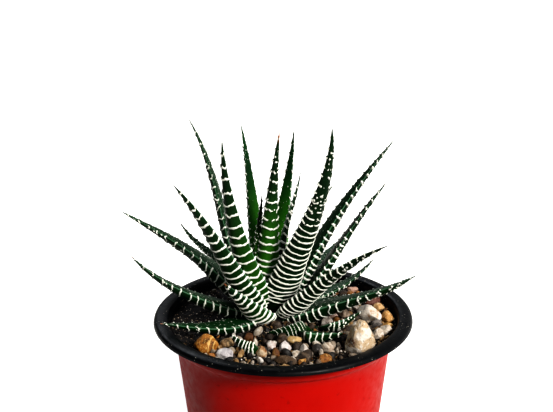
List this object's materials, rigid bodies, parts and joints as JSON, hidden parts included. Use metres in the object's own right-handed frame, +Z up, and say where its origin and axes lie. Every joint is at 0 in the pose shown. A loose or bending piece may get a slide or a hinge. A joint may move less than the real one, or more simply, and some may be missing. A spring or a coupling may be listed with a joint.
{
  "type": "potted haworthia plant",
  "caption": "Banded rosette succulent with pointed leaves and small offsets, growing in gritty soil with mixed stones inside a tapered round pot with a wide dark rim.",
  "frame": {"origin": "centre of the pot's base, on the plane it stands on", "axes": "+Z up out of the pot's mouth, -Y towards the front of the plant, +X to the right seen from the front"},
  "size_m": [0.1129, 0.1054, 0.1596],
  "materials": {
    "pot_plastic": "thin thermoformed polypropylene, satin; red outside, black rim and inside",
    "potting_mix": "rough, gritty, damp potting mix",
    "stem_and_roots": "fibrous, matte",
    "leaf": "succulent leaf skin, satin, with raised white bands and dots",
    "leaf_young": "succulent leaf skin, satin, with raised white bands",
    "stone_pale": "water-worn quartz and feldspar gravel, matte",
    "stone_golden_brown": "iron-stained gravel, matte",
    "stone_dark_brown": "dark gravel, matte"
  },
  "bodies": {
    "root": {"leaf_back_left_low": "leaf", "leaf_back_left_mid": "leaf", "leaf_back_left_upright": "leaf", "leaf_back_low": "leaf", "leaf_back_middle": "leaf", "leaf_back_right_low": "leaf", "leaf_back_right_mid": "leaf", "leaf_back_right_upright": "leaf", "leaf_centre_front": "leaf", "leaf_front_left": "leaf", "leaf_front_right": "leaf", "leaf_front_short": "leaf", "leaf_inner_right": "leaf", "leaf_left_back_short": "leaf", "leaf_left_back_tall": "leaf", "leaf_left_long": "leaf", "leaf_left_low": "leaf", "leaf_left_soil": "leaf", "leaf_left_tall": "leaf", "leaf_right_back_thin": "leaf", "leaf_right_banded": "leaf", "leaf_right_low": "leaf", "leaf_right_lower": "leaf", "leaf_right_short": "leaf", "leaf_right_tip_low": "leaf", "leaf_right_upper": "leaf", "leaf_youngest": "leaf", "offset_leaf_cupped": "leaf_young", "offset_leaf_dark": "leaf_young", "offset_leaf_right": "leaf_young", "offset_leaf_small": "leaf_young", "pot": "pot_plastic", "soil": "potting_mix", "stem_with_roots": "stem_and_roots", "stone_brown_grey": "stone_dark_brown", "stone_brown_wedge": "stone_dark_brown", "stone_cream": "stone_golden_brown", "stone_dark": "stone_dark_brown", "stone_gold_flat": "stone_golden_brown", "stone_golden": "stone_golden_brown", "stone_grey_pebble": "stone_pale", "stone_grey_small": "stone_dark_brown", "stone_olive": "stone_dark_brown", "stone_orange_granular": "stone_golden_brown", "stone_orange_rough": "stone_golden_brown", "stone_pale_tan": "stone_pale", "stone_pink_back": "stone_pale", "stone_pink_flat": "stone_pale", "stone_red_brown": "stone_dark_brown", "stone_speckled": "stone_pale", "stone_tall_tan": "stone_pale", "stone_white_cluster_left": "stone_pale", "stone_white_cluster_right": "stone_pale", "stone_white_large": "stone_pale", "stone_white_pair_left": "stone_pale", "stone_white_pair_right": "stone_pale", "stone_white_pebble": "stone_pale", "stone_yellow_tan": "stone_golden_brown"}
  },
  "joints": []
}
